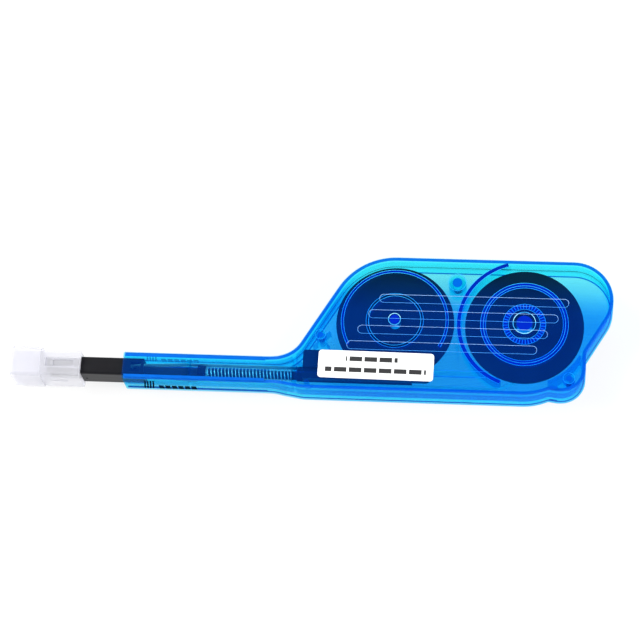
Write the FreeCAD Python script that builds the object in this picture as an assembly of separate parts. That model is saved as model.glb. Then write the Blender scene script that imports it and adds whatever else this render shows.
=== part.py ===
import FreeCAD, Part
import math
import os

# Flat one-push cleaner for multi-fibre connectors, with its guide cap on.
# X runs along the pen with the nose at -X, Y across it and Z up from its back face.
# The origin is on the supply reel's axis, in the plane of the back face.  Lengths are in millimetres.

# Nose sleeve and tip
sleeve_width = 6.3
sleeve_height = 9.6
sleeve_wall = 0.8
sleeve_length = 22.1
sleeve_front_x = -154.1
sleeve_clearance_y = 0.2
sleeve_clearance_z = 0.15
sleeve_corner_radius = 0.8
sleeve_bore_radius = 0.2
sleeve_window = (4.6, 1.0)
sleeve_window_half = 1.7
dimple_radius = 0.45
dimple_place = (1.6, 0.6)
dimple_rise = 0.15
tip_wall = 0.6
tip_reach = 11.9
tip_overlap = 17.1
tip_corner_radius = 0.3
tip_bore_radius = 0.2
fixed_fit = 0.05
press_fit = 0.02
tongue_thick = 2.1
tongue_reach = 1.2
tongue_length = 27.0
tongue_root_start = 12.0
spigot_radius = 0.6
spigot_length = 5.0
spigot_reach = 5.7

# Tape
tape_width = 3.3
tape_thick = 0.12
tape_gap = 0.1
tape_leg_offset = 2.75
tape_entry_offset = 2.0
tape_slot_half = 0.35
tape_slot_over = 0.3

# Reels
reel_spacing = 45.0
reel_radius = 20.6
reel_wall_gap = 1.0
disc_thick = 0.75
hub_radius = 8.0
supply_roll_radius = 16.5
takeup_roll_radius = 9.8
supply_axle_radius = 3.0
takeup_axle_radius = 2.1
running_gap = 0.05
bearing_gap = 0.1
supply_bearing_radius = 6.0
takeup_bearing_radius = 5.0
supply_collar_radius = 4.6

# Casing
body_height = 14.2
plate = 1.5
wall = 1.6
neck_plate = 1.25
neck_front_x = -139.2
ramp_start_x = -88.3
ramp_length = 5.0
ramp_bend_radius = 10.0
split_z = 6.0
lap_height = 0.8
lap_gap = 0.05
edge_bevel = 0.45
slant_deg = 60.0
guide_room = 2.15
neck_fillet = 10.5
tail_slant_offset = 23.7
tail_corner_radius = 14.0
lobe_x = 21.6
lobe_step = 1.6
lobe_radius = 8.5
lobe_rise_radius = 22.0
lobe_rise_deg = 21.5
lobe_land = 1.1
lobe_root_radius = 1.0
notch_width = 3.0
notch_depth = 0.4
notch_radius = 0.8
neck_corner_radius = 0.6
tail_bend_radius = 2.0
flare_end_x = -76.5
flare_length = 9.5
flare_radius = 12.0
rib_gap = 0.3
bosses = [((-23.8, 14.8), 3.1, 1.5), ((-70.6, -5.9), 1.8, 0.9), ((15.9, -19.2), 2.0, 0.9)]
boss_rise = 1.9
boss_gap = 0.1
peg_length = 4.1
gusset_reach = 4.0
gusset_half = 0.35
gusset_drop = 1.5
margin = 40.0

# Drive
gear_module = 1.0
gear_teeth = 16
gear_addendum = 0.9
gear_dedendum = 1.2
gear_backlash = 0.16
pressure_deg = 20.0
floor_gap = 0.3
gear_hub_radius = 3.2
hub_flat_offset = 2.6
supply_key_radius = 4.2
supply_key_flat = 3.8
ratchet_teeth = 24
ratchet_depth = 0.65
drive_ratchet_radius = 6.6
stop_ratchet_radius = 9.4
ratchet_thick = 1.0
ratchet_tape_gap = 0.45
ratchet_recess = 0.4
pawl_thick = 0.45
pawl_hub_wall = 1.0
pawl_arm_radius = 5.0
pawl_span_deg = 110
pawl_root_deg = 14
pawl_tip_deg = (6, 10)
pawl_bite = 0.4
drive_pawl_tooth = 6
drive_pawl_back_deg = 1.0
stop_pawl_tooth = 7
stop_pawl_back_deg = 0.8
stop_pawl_bite = 0.2
stop_pawl_thick = 0.8
stop_pawl_arch = 0.55
stop_pawl_root_deg = (129, 192)
stop_pawl_eye_wall = 0.9
stop_post_radius = 1.2
stop_post_step_radius = 2.0
stop_post_place = (14.5, 60)
stop_post_over = 0.3
reel_gear_gap = 0.4
rack_teeth = 7
rack_back = 2.2
rack_foot_length = 12.0
rack_foot_overlap = 0.5

# Carriage, rod and spring
skirt_gap = 0.4
skirt_thick = 1.0
tape_side_gap = 0.35
carriage_left_x = -76.2
carriage_right_x = -31.2
carriage_step_x = -44.0
carriage_back_y = -11.6
carriage_step = 3.9
carriage_front_radii = (0.6, 2.5)
carriage_corner_radius = 1.0
carriage_joint = 0.1
skirt_inset = (3.0, 7.0)
rod_block_length = 4.7
rod_block_wall = (0.5, 1.4)
rod_seat_depth = 4.2
rail_clearance = 0.2
carriage_plate_gap = 0.4
carriage_cover_gap = 0.5
rod_radius = 1.5
rod_clearance = 0.1
stop_radius = 2.3
stop_gap = 0.1
collar_radius = 2.5
collar_length = 2.7
collar_front_x = -113.3
spring_radius = 1.93
spring_wire_radius = 0.17
spring_turns = 24
spring_steps = 8
bulkhead_x = -116.9
bulkhead_thick = 1.1
spring_wall_x = -79.9
spring_wall_thick = 1.4

# Cover ribs and label
supply_ring = (14.0, 15.2)
takeup_ring = (8.8, 10.0)
takeup_arc = (17.8, 18.7)
arc_opening_deg = 30.0
compartment_wall = (22.0, 23.4)
compartment_wall_gap = 0.1
compartment_start_deg = 104
compartment_tail_deg = (293, 331)
tall_room_inset = 0.15
post_radius = 1.3
post_cover_gap = 0.2
guide_post_radius = 0.9
feed_post_reach = 4.0
return_post_gap = 0.1
return_post_drop = 0.4
axle_seat_gap = 0.1
axle_socket_wall = 0.8
axle_socket_gap = 0.2
takeup_axle_entry = 0.4
takeup_axle_room = 0.2
axle_slot_half = 0.4
axle_slot_depth = 0.8
tape_post_gap = 0.05
crown_ring = (5.4, 7.4)
crown_teeth = 40
crown_tooth_width = 0.36
crown_tooth_share = 0.53
crown_click_gap = 0.6
click_ring_thick = 0.45
click_hump_half = 0.12
click_hump_inset = 0.2
click_hump_gap = 0.2
hub_collar_height = 0.5
hub_key_height = 0.7
rail_y = (-19.8, -18.0)
rail_drop = 1.0
rail_wall_gap = 1.2
rib_spike = [(-23.7, -7.6), (-22.6, -7.6), (-22.3, -14.8)]
grip_count = 4
grip_length = 65.7
grip_width = 3.0
grip_depth = 0.3
grip_pitch = 5.83
grip_shift = 3.5
grip_first_end = (15.1, 7.6)
label_size = (40.0, 10.0)
label_thick = 0.15
label_round = 1.2
label_centre = (-50.6, -17.35)
label_turn_deg = -0.5

# Guide cap
cap_wall_y = 2.25
cap_wall_z = 2.75
cap_skirt_length = 14.0
port_width = 6.6
port_height = 9.9
port_depth = 11.1
port_wall = 0.9
cap_tip_clearance = 0.1
cap_skirt_radius = 1.0
cap_head_radius = 0.8
cap_bore_radius = 0.4
cap_channel_half = 1.65
cap_channel_depth = 0.5
cap_channel_start = 1.7
cap_pocket_half = 1.2
cap_pocket_depth = 1.0
cap_pocket_inset = (4.2, 2.3)
cap_groove_width = 0.3
cap_grooves = [(10.8, 1.8, 2.7), (10.8, 5.0, -0.4)]
port_tip_gap = 0.5
head_extra = 0.15
lid_wall = 0.7
lid_gap = 0.1
lid_front = 0.9
lid_lip = 1.0
lid_lip_root = 0.5
lid_lip_half = 5.2
lid_radii = (1.2, 0.9)
cap_seat_gap = 0.1

# Worked out from the sizes above
pen_z = body_height / 2
takeup_x = -reel_spacing
skirt_inner_y = -(reel_radius + skirt_gap)
skirt_front_y = skirt_inner_y - skirt_thick
feed_y = skirt_front_y - tape_side_gap
pen_y = feed_y + tape_leg_offset
return_y = pen_y + tape_leg_offset
front_edge_y = feed_y - guide_room - wall
back_edge_y = reel_radius + reel_wall_gap + wall
neck_half_width = sleeve_width / 2 + sleeve_clearance_y + wall
neck_half_height = sleeve_height / 2 + sleeve_clearance_z + neck_plate
ramp_rise = pen_z - neck_half_height
sleeve_rear_x = sleeve_front_x + sleeve_length
tape_low = pen_z - tape_width / 2
tape_high = pen_z + tape_width / 2
disc_low = tape_high + tape_gap
disc_high = disc_low + disc_thick
rib_low = disc_high + rib_gap
cover_low = body_height - plate
post_high = cover_low - post_cover_gap
reel_low = tape_low - ratchet_tape_gap - ratchet_thick
gear_low = plate + floor_gap
gear_high = reel_low - reel_gear_gap
pitch_radius = gear_module * gear_teeth / 2
push_travel = pitch_radius * math.pi / 2
plate_low = disc_high + carriage_plate_gap
plate_high = cover_low - carriage_cover_gap
hub_key_low = disc_high + hub_collar_height
hub_key_high = hub_key_low + hub_key_height
click_low = hub_key_low + fixed_fit
click_high = click_low + click_ring_thick
crown_low = click_high + crown_click_gap
crown_tooth_height = crown_tooth_share * (cover_low - crown_low)
boss_split = pen_z + boss_rise
spring_wall_mid = spring_wall_x + spring_wall_thick / 2
Z_UP = FreeCAD.Vector(0, 0, 1)
X_UP = FreeCAD.Vector(1, 0, 0)


def vec(x, y, z=0.0):
    return FreeCAD.Vector(x, y, z)


def polar(centre, radius, angle_deg):
    angle = math.radians(angle_deg)
    return (centre[0] + radius * math.cos(angle), centre[1] + radius * math.sin(angle))


def block(x, y, z):
    """A box between the two x, two y and two z values."""
    return Part.makeBox(x[1] - x[0], y[1] - y[0], z[1] - z[0], vec(x[0], y[0], z[0]))


def post(centre, radius, z):
    return Part.makeCylinder(radius, z[1] - z[0], vec(centre[0], centre[1], z[0]))


def ring(centre, radii, z):
    return post(centre, radii[1], z).cut(post(centre, radii[0], z))


def bar(radius, x):
    """A round bar along the pen's own axis."""
    return Part.makeCylinder(radius, x[1] - x[0], vec(x[0], pen_y, pen_z), X_UP)


def arc_wall(centre, radii, z, start_deg, end_deg):
    """A curved wall, part of a ring."""
    height = z[1] - z[0]
    wedge = Part.makeCylinder(radii[1], height, vec(0, 0, z[0]), Z_UP, end_deg - start_deg)
    wedge.rotate(vec(0, 0), Z_UP, start_deg)
    wedge.translate(vec(centre[0], centre[1]))
    return wedge.cut(post(centre, radii[0], z))


def prism(wire, z):
    face = Part.Face(wire)
    face.translate(vec(0, 0, z[0]))
    return face.extrude(vec(0, 0, z[1] - z[0]))


def polygon(points):
    corners = [vec(x, y) for x, y in points]
    return Part.makePolygon(corners + corners[:1])


def rounded_outline(corners):
    """A closed wire of straight runs; each corner is (x, y, radius of its rounding)."""
    starts = []
    ends = []
    middles = []
    for number, (x, y, radius) in enumerate(corners):
        here = vec(x, y)
        before = vec(*corners[number - 1][:2])
        after = vec(*corners[(number + 1) % len(corners)][:2])
        to_before = (before - here).normalize()
        to_after = (after - here).normalize()
        half_angle = to_before.getAngle(to_after) / 2
        reach = radius / math.tan(half_angle)
        starts.append(here + to_before * reach)
        ends.append(here + to_after * reach)
        inward = (to_before + to_after).normalize()
        middles.append(here + inward * (radius / math.sin(half_angle) - radius))
    edges = []
    for number, corner in enumerate(corners):
        if corner[2] > 0:
            edges.append(Part.Arc(starts[number], middles[number], ends[number]).toShape())
        following = starts[(number + 1) % len(corners)]
        if ends[number].distanceToPoint(following) > 1e-6:
            edges.append(Part.makeLine(ends[number], following))
    return Part.Wire(edges)


def rounded_bar(half_width, half_height, x, radius):
    """A bar with a rounded rectangular section along the pen's axis."""
    corners = [(-half_width, -half_height), (half_width, -half_height)]
    corners += [(half_width, half_height), (-half_width, half_height)]
    wire = rounded_outline([(across, up, radius) for across, up in corners])
    solid = Part.Face(wire).extrude(vec(0, 0, x[1] - x[0]))
    solid.rotate(vec(0, 0), vec(1, 1, 1), 120)
    solid.translate(vec(x[0], pen_y, pen_z))
    return solid


def strip(points):
    """A thin tape standing on edge along a line of points, mitred at its bends."""
    left = []
    right = []
    for number, point in enumerate(points):
        here = vec(*point)
        directions = []
        if number > 0:
            directions.append((here - vec(*points[number - 1])).normalize())
        if number < len(points) - 1:
            directions.append((vec(*points[number + 1]) - here).normalize())
        along = directions[0] + directions[-1]
        along.normalize()
        spread = tape_thick / 2 / along.dot(directions[0])
        side = vec(-along.y, along.x) * spread
        left.append(((here + side).x, (here + side).y))
        right.append(((here - side).x, (here - side).y))
    return prism(polygon(left + right[::-1]), (tape_low, tape_high))


def outer_tangent(first, first_radius, second, second_radius, side):
    """Direction, in degrees, from both centres to the line that touches both circles on one side."""
    across = second[0] - first[0]
    up = second[1] - first[1]
    spread = math.acos((first_radius - second_radius) / math.hypot(across, up))
    return math.degrees(math.atan2(up, across) + side * spread)


def joined(shapes):
    solid = shapes[0]
    for shape in shapes[1:]:
        solid = solid.fuse(shape)
    return solid.removeSplitter()


# ---------- casing ----------

def casing_outline():
    """The pen's outline from the front, as a face: neck, slanted shoulders and the lobe at the tail."""
    slope = math.tan(math.radians(slant_deg))
    drop = math.cos(math.radians(slant_deg))
    neck_back_y = pen_y + neck_half_width
    neck_front_y = pen_y - neck_half_width
    # the shoulder touches a circle about the take-up reel, and the tail's slant one about the supply reel
    shoulder_x = takeup_x - back_edge_y / (slope * drop)
    tail_x = tail_slant_offset / (slope * drop)
    lobe_front_y = front_edge_y + lobe_step
    lobe_start_x = lobe_x - lobe_radius - lobe_land
    notch = (lobe_start_x - notch_width, lobe_front_y + notch_depth)
    rise_x = notch[0] - (notch[1] - front_edge_y) / math.tan(math.radians(lobe_rise_deg))
    return rounded_outline([
        (neck_front_x, neck_back_y, neck_corner_radius),
        (shoulder_x + neck_back_y / slope, neck_back_y, neck_fillet),
        (shoulder_x + back_edge_y / slope, back_edge_y, back_edge_y),
        (tail_x + back_edge_y / slope, back_edge_y, tail_corner_radius),
        (lobe_x, (lobe_x - tail_x) * slope, tail_bend_radius),
        (lobe_x, lobe_front_y, lobe_radius),
        (lobe_start_x, lobe_front_y, lobe_root_radius),
        (notch[0], notch[1], notch_radius),
        (rise_x, front_edge_y, lobe_rise_radius),
        (flare_end_x, front_edge_y, flare_radius),
        (flare_end_x - flare_length, neck_front_y, flare_radius),
        (neck_front_x, neck_front_y, neck_corner_radius),
    ])


def height_envelope(body, neck):
    """A slab of the casing's height, with ramps where the neck meets the body."""
    far_left = neck_front_x - margin
    far_right = lobe_x + margin
    ramp_end_x = ramp_start_x + ramp_length
    bend = ramp_bend_radius
    corners = [(far_left, neck[0], 0), (ramp_start_x, neck[0], bend), (ramp_end_x, body[0], bend)]
    corners += [(far_right, body[0], 0), (far_right, body[1], 0), (ramp_end_x, body[1], bend)]
    corners += [(ramp_start_x, neck[1], bend), (far_left, neck[1], 0)]
    face = Part.Face(rounded_outline(corners))
    face.rotate(vec(0, 0), X_UP, 90)
    face.translate(vec(0, back_edge_y + margin))
    return face.extrude(vec(0, front_edge_y - back_edge_y - 2 * margin, 0))


def inset_prism(outline, inset, z):
    face = Part.Face(outline).makeOffset2D(-inset)
    face.translate(vec(0, 0, z[0]))
    return face.extrude(vec(0, 0, z[1] - z[0]))


def bevelled_casing(outline):
    """The casing's outer form, with its top and bottom edges bevelled."""
    neck = (pen_z - neck_half_height, pen_z + neck_half_height)
    solid = prism(outline, (0, body_height)).common(height_envelope((0, body_height), neck))
    rims = []
    for edge in solid.Edges:
        extent = edge.BoundBox
        upright = extent.ZLength > ramp_rise + edge_bevel
        crosses = extent.YLength > neck_half_width and extent.XLength < 1e-6
        if not upright and (not crosses or extent.XMax < ramp_start_x - ramp_length):
            rims.append(edge)
    return solid.makeChamfer(edge_bevel, rims)


outline = casing_outline()
inner_neck = (pen_z - sleeve_height / 2 - sleeve_clearance_z, pen_z + sleeve_height / 2 + sleeve_clearance_z)
room = inset_prism(outline, wall, (0, body_height)).common(height_envelope((plate, cover_low), inner_neck))
mouth_y = (pen_y - sleeve_width / 2 - sleeve_clearance_y, pen_y + sleeve_width / 2 + sleeve_clearance_y)
mouth = block((neck_front_x - 1, neck_front_x + wall + 1), mouth_y, inner_neck)
casing = bevelled_casing(outline).cut(room.fuse(mouth))
whole_x = (neck_front_x - margin, lobe_x + margin)
whole_y = (front_edge_y - margin, back_edge_y + margin)
below = block(whole_x, whole_y, (-1, split_z))
above = block(whole_x, whole_y, (split_z, body_height + 1))
tall_room = inset_prism(outline, wall + tall_room_inset, (0, post_high))
tall_room = tall_room.fuse(block(whole_x, whole_y, (0, split_z)))

supply_centre = (0.0, 0.0)
takeup_centre = (takeup_x, 0.0)
tape_bend = post_radius + tape_thick / 2 + tape_post_gap
wall_middle = sum(compartment_wall) / 2
wall_end = (-math.sqrt(wall_middle ** 2 - (feed_y + tape_bend) ** 2), feed_y + tape_bend)
wall_end_deg = 360 + math.degrees(math.atan2(wall_end[1], wall_end[0]))
post_reach = tape_thick / 2 + tape_post_gap + guide_post_radius
feed_post = (spring_wall_x + spring_wall_thick + feed_post_reach, feed_y - post_reach)
return_post_x = spring_wall_x + spring_wall_thick + guide_post_radius + return_post_gap
return_post = (return_post_x, return_y + post_reach)
stop_post = polar(takeup_centre, *stop_post_place)


def bulkhead(x0, thick):
    """A wall across the neck, with a hole for the rod and a slot for each run of tape."""
    plate_solid = block((x0, x0 + thick), whole_y, (0, body_height)).common(room.copy())
    plate_solid = plate_solid.cut(bar(rod_radius + rod_clearance, (x0 - 1, x0 + thick + 1)))
    for tape_y in (feed_y, return_y):
        slot_y = (tape_y - tape_slot_half, tape_y + tape_slot_half)
        slot_z = (tape_low - tape_slot_over, tape_high + tape_slot_over)
        slot = block((x0 - 1, x0 + thick + 1), slot_y, slot_z)
        plate_solid = plate_solid.cut(slot)
    return plate_solid


def make_lower_shell():
    floor_up = (plate, post_high)
    pieces = [casing.copy().common(below)]
    lip = inset_prism(outline, wall / 2 + lap_gap, (split_z, split_z + lap_height))
    pieces.append(lip.cut(room.copy().fuse(mouth)))
    for start_deg, end_deg in ((compartment_start_deg, wall_end_deg), compartment_tail_deg):
        curved = arc_wall(supply_centre, compartment_wall, floor_up, start_deg, end_deg)
        pieces.append(curved.common(tall_room))
    pieces.append(post(wall_end, post_radius, floor_up))
    pieces.append(post(feed_post, guide_post_radius, floor_up))
    pieces.append(post(return_post, guide_post_radius, (plate, plate_low - return_post_drop)))
    pieces.append(post(stop_post, stop_post_radius, (plate, reel_low + ratchet_thick + stop_post_over)))
    pieces.append(ring(stop_post, (stop_post_radius, stop_post_step_radius), (plate, reel_low - bearing_gap)))
    pieces.append(post(supply_centre, supply_axle_radius, floor_up))
    supply_step = (supply_axle_radius, supply_bearing_radius)
    pieces.append(ring(supply_centre, supply_step, (plate, reel_low - bearing_gap)))
    pieces.append(post(takeup_centre, takeup_axle_radius, (plate, cover_low + takeup_axle_entry)))
    takeup_step = (takeup_axle_radius, takeup_bearing_radius)
    pieces.append(ring(takeup_centre, takeup_step, (plate, gear_low - bearing_gap)))
    for centre, radius, peg_radius in bosses:
        pieces.append(ring(centre, (peg_radius + fixed_fit, radius), (plate, boss_split)))
    for angle in (45, 135, 225, 315):
        gusset = block((0, gusset_reach), (-gusset_half, gusset_half), (plate, boss_split - gusset_drop))
        gusset = gusset.cut(post((0, 0), bosses[1][2] + gusset_half, (plate, boss_split)))
        gusset.rotate(vec(0, 0), Z_UP, angle)
        gusset.translate(vec(*bosses[1][0]))
        pieces.append(gusset.common(tall_room))
    pieces.append(bulkhead(bulkhead_x, bulkhead_thick).common(below))
    pieces.append(bulkhead(spring_wall_x, spring_wall_thick).common(below))
    shell = joined(pieces)
    slot_y = (-axle_slot_half, axle_slot_half)
    slot_z = (post_high - axle_slot_depth, post_high + 1)
    return shell.cut(block((-supply_axle_radius, supply_axle_radius), slot_y, slot_z))


def crown():
    """The ring of radial teeth under the cover that brakes the supply reel."""
    pieces = [ring(supply_centre, crown_ring, (crown_low + crown_tooth_height, cover_low))]
    for number in range(crown_teeth):
        half = crown_tooth_width / 2
        tooth = block(crown_ring, (-half, half), (crown_low, cover_low))
        tooth.rotate(vec(0, 0), Z_UP, (number + 0.5) * 360 / crown_teeth)
        pieces.append(tooth)
    return joined(pieces)


def grip_outline(number):
    """One of the long shallow grip pads, each set back from the one before it."""
    right = grip_first_end[0] - number * grip_shift
    middle = grip_first_end[1] - number * grip_pitch
    half = grip_width / 2
    corners = [(right - grip_length, middle - half), (right, middle - half)]
    corners += [(right, middle + half), (right - grip_length, middle + half)]
    return rounded_outline([(x, y, half - 0.01) for x, y in corners])


def make_upper_shell():
    hang = (rib_low, cover_low)
    pieces = [casing.copy().common(above)]
    pieces.append(ring(supply_centre, supply_ring, hang))
    pieces.append(ring(takeup_centre, takeup_ring, hang))
    pieces.append(arc_wall(takeup_centre, takeup_arc, hang, -arc_opening_deg, 180 + arc_opening_deg))
    pieces.append(crown())
    socket_radius = supply_axle_radius + axle_seat_gap
    socket = (socket_radius, socket_radius + axle_socket_wall)
    pieces.append(ring(supply_centre, socket, (hub_key_high + axle_socket_gap, cover_low)))
    rail_end_x = -math.sqrt(compartment_wall[1] ** 2 - rail_y[1] ** 2) - rail_wall_gap
    rail_x = (spring_wall_x + spring_wall_thick, rail_end_x)
    pieces.append(block(rail_x, rail_y, (plate_high - rail_drop, cover_low)))
    pieces.append(prism(polygon(rib_spike), hang))
    for centre, radius, peg_radius in bosses:
        stub = post(centre, radius, (boss_split + boss_gap, cover_low))
        clear_radius = compartment_wall[1] + compartment_wall_gap
        pieces.append(stub.cut(post(supply_centre, clear_radius, (0, body_height))))
        pieces.append(post(centre, peg_radius, (boss_split - peg_length, boss_split + 2 * boss_gap)))
    pieces.append(bulkhead(bulkhead_x, bulkhead_thick).common(above))
    pieces.append(bulkhead(spring_wall_x, spring_wall_thick).common(above))
    shell = joined(pieces)
    groove = inset_prism(outline, wall / 2, (split_z - 1, split_z + lap_height + lap_gap))
    shell = shell.cut(groove.cut(room.copy()))
    axle_seat_z = (cover_low - 1, cover_low + takeup_axle_entry + takeup_axle_room)
    shell = shell.cut(post(takeup_centre, takeup_axle_radius + axle_seat_gap, axle_seat_z))
    for number in range(grip_count):
        shell = shell.cut(prism(grip_outline(number), (body_height - grip_depth, body_height + 1)))
    return shell


def make_label():
    half_length = label_size[0] / 2
    half_width = label_size[1] / 2
    corners = [(-half_length, -half_width), (half_length, -half_width)]
    corners += [(half_length, half_width), (-half_length, half_width)]
    wire = rounded_outline([(x, y, label_round) for x, y in corners])
    label = prism(wire, (body_height, body_height + label_thick))
    label.rotate(vec(0, 0), Z_UP, label_turn_deg)
    label.translate(vec(*label_centre))
    return label


# ---------- nose ----------

tip_half_width = sleeve_width / 2 - sleeve_wall - fixed_fit
tip_half_height = sleeve_height / 2 - sleeve_wall - fixed_fit
tip_front_x = sleeve_front_x - tip_reach
tip_rear_x = sleeve_front_x + tip_overlap
tongue_front_x = tip_front_x - tongue_reach
tongue_rear_x = tongue_front_x + tongue_length
tape_side = tongue_thick / 2 + tape_thick / 2 + press_fit / 2
rod_front_x = tongue_rear_x + spigot_reach
rod_rear_x = carriage_left_x + rod_seat_depth


def make_nose_sleeve():
    x = (sleeve_front_x, sleeve_rear_x)
    half = (sleeve_width / 2, sleeve_height / 2)
    sleeve = rounded_bar(half[0], half[1], x, sleeve_corner_radius)
    bore_x = (x[0] - 1, x[1] + 1)
    sleeve = sleeve.cut(rounded_bar(half[0] - sleeve_wall, half[1] - sleeve_wall, bore_x, sleeve_bore_radius))
    window_x = (x[1] - sleeve_window[0], x[1] - sleeve_window[1])
    window_y = (pen_y - sleeve_window_half, pen_y + sleeve_window_half)
    sleeve = sleeve.cut(block(window_x, window_y, (pen_z, pen_z + sleeve_height)))
    dimple_y = pen_y - half[0] - dimple_rise
    dimple = Part.makeSphere(dimple_radius, vec(x[0] + dimple_place[0], dimple_y, pen_z - dimple_place[1]))
    return sleeve.cut(dimple)


def make_tip_guide():
    x = (tip_front_x, tip_rear_x)
    guide = rounded_bar(tip_half_width, tip_half_height, x, tip_corner_radius)
    hollow_half = (tip_half_width - tip_wall, tip_half_height - tip_wall)
    return guide.cut(rounded_bar(*hollow_half, (x[0] - 1, x[1] + 1), tip_bore_radius))


def make_tape_head():
    half = tongue_thick / 2
    across = (pen_y - half, pen_y + half)
    nose_end = post((tongue_front_x + half, pen_y), half, (tape_low, tape_high))
    tongue = block((tongue_front_x + half, tongue_rear_x), across, (tape_low, tape_high))
    root_half = tip_half_height - tip_wall - fixed_fit
    root_x = (tongue_front_x + tongue_root_start, tongue_rear_x)
    root = block(root_x, across, (pen_z - root_half, pen_z + root_half))
    head = joined([nose_end, tongue, root])
    spigot_hole = (tongue_rear_x - spigot_length - running_gap, tongue_rear_x + 1)
    return head.cut(bar(spigot_radius + press_fit, spigot_hole))


def make_push_rod():
    spigot = bar(spigot_radius, (tongue_rear_x - spigot_length, rod_front_x + 1))
    return joined([spigot, bar(rod_radius, (rod_front_x, rod_rear_x))])


def make_spring_collar():
    x = (collar_front_x, collar_front_x + collar_length)
    collar = bar(collar_radius, x)
    return collar.cut(bar(rod_radius + press_fit, (x[0] - 1, x[1] + 1)))


def make_return_spring():
    start_x = collar_front_x + collar_length + spring_wire_radius + press_fit
    end_x = spring_wall_x - spring_wire_radius - press_fit
    lead = (end_x - start_x) / (2 * math.pi * spring_turns)
    steps = spring_turns * spring_steps
    sections = []
    for step in range(steps + 1):
        turn = 2 * math.pi * spring_turns * step / steps
        outward = vec(0, math.cos(turn), math.sin(turn))
        along = vec(lead, -spring_radius * math.sin(turn), spring_radius * math.cos(turn)).normalize()
        centre = vec(start_x + lead * turn, pen_y, pen_z) + outward * spring_radius
        circle = Part.Circle(centre, along, spring_wire_radius)
        circle.XAxis = outward
        corners = [circle.value(math.pi * side / 2) for side in range(4)]
        sections.append(Part.makePolygon(corners + corners[:1]))
    return Part.makeLoft(sections, True, True)


def make_carriage():
    left_radius, right_radius = carriage_front_radii
    corners = [(carriage_left_x, skirt_front_y, left_radius), (carriage_right_x, skirt_front_y, right_radius)]
    step_y = carriage_back_y - carriage_step
    for x, y in ((carriage_right_x, step_y), (carriage_step_x, step_y)):
        corners.append((x, y, carriage_corner_radius))
    for x in (carriage_step_x, carriage_left_x):
        corners.append((x, carriage_back_y, carriage_corner_radius))
    top = prism(rounded_outline(corners), (plate_low, plate_high))
    groove_x = (carriage_left_x - 1, carriage_right_x + 1)
    groove_y = (rail_y[0] - rail_clearance, rail_y[1] + rail_clearance)
    top = top.cut(block(groove_x, groove_y, (plate_high - rail_drop - rail_clearance, plate_high + 1)))
    skirt_x = (carriage_left_x + skirt_inset[0], carriage_right_x - skirt_inset[1])
    skirt_z = (gear_high + press_fit, plate_low + carriage_joint)
    skirt = block(skirt_x, (skirt_front_y, skirt_inner_y), skirt_z)
    rod_block_y = (skirt_front_y, pen_y + rod_radius + rod_block_wall[0])
    rod_block_z = (pen_z - rod_radius - rod_block_wall[1], plate_low + carriage_joint)
    rod_block = block((carriage_left_x, carriage_left_x + rod_block_length), rod_block_y, rod_block_z)
    stop_x = spring_wall_x + spring_wall_thick + stop_gap
    stop = bar(stop_radius, (stop_x, carriage_left_x + carriage_joint))
    carriage = joined([top, skirt, rod_block, stop])
    return carriage.cut(bar(rod_radius + press_fit, (stop_x - 1, rod_rear_x + running_gap)))


# ---------- tape drive ----------

def flank_angle(base_radius, radius):
    """Angle, in radians, that an involute flank has turned by at a radius."""
    pressure = math.acos(base_radius / radius)
    return math.tan(pressure) - pressure


def make_drive_gear():
    base = pitch_radius * math.cos(math.radians(pressure_deg))
    tip = pitch_radius + gear_module * gear_addendum
    root = pitch_radius - gear_module * gear_dedendum
    thickness = math.pi * gear_module / 2 - gear_backlash
    half_tooth = thickness / 2 / pitch_radius + flank_angle(base, pitch_radius)
    radii = [base, (base + tip) / 2, tip]
    pitch_angle = 2 * math.pi / gear_teeth
    edges = []

    def at(radius, angle):
        return vec(radius * math.cos(angle), radius * math.sin(angle))

    for tooth in range(gear_teeth):
        middle = (tooth + 0.5) * pitch_angle
        rising = [at(r, middle - half_tooth + flank_angle(base, r)) for r in radii]
        falling = [at(r, middle + half_tooth - flank_angle(base, r)) for r in radii[::-1]]
        edges.append(Part.makeLine(at(root, middle - half_tooth), rising[0]))
        edges.append(Part.Arc(*rising).toShape())
        edges.append(Part.Arc(rising[-1], at(tip, middle), falling[0]).toShape())
        edges.append(Part.Arc(*falling).toShape())
        edges.append(Part.makeLine(falling[-1], at(root, middle + half_tooth)))
        gap = (middle + half_tooth, middle + pitch_angle / 2, middle + pitch_angle - half_tooth)
        edges.append(Part.Arc(*[at(root, angle) for angle in gap]).toShape())
    gear = prism(Part.Wire(edges), (gear_low, gear_high))
    hub = keyed_hub((0, 0), gear_hub_radius, (gear_high, reel_low + ratchet_thick + ratchet_recess / 2))
    gear = joined([gear, hub]).cut(post((0, 0), takeup_axle_radius + running_gap, (0, body_height)))
    gear.translate(vec(*takeup_centre))
    return gear


def keyed_hub(centre, radius, z, flat=hub_flat_offset):
    """A round hub with two flats that carry what is keyed on it round."""
    hub = post((0, 0), radius, z).common(block((-radius, radius), (-flat, flat), z))
    hub.translate(vec(*centre))
    return hub


def saw_teeth(tip_radius, root_radius):
    """A closed ratchet outline whose steep faces meet a pawl that points anticlockwise."""
    points = []
    for tooth in range(ratchet_teeth):
        steep = tooth * 360 / ratchet_teeth
        points.append(polar((0, 0), root_radius, steep))
        points.append(polar((0, 0), tip_radius, steep))
    return polygon(points)


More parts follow.
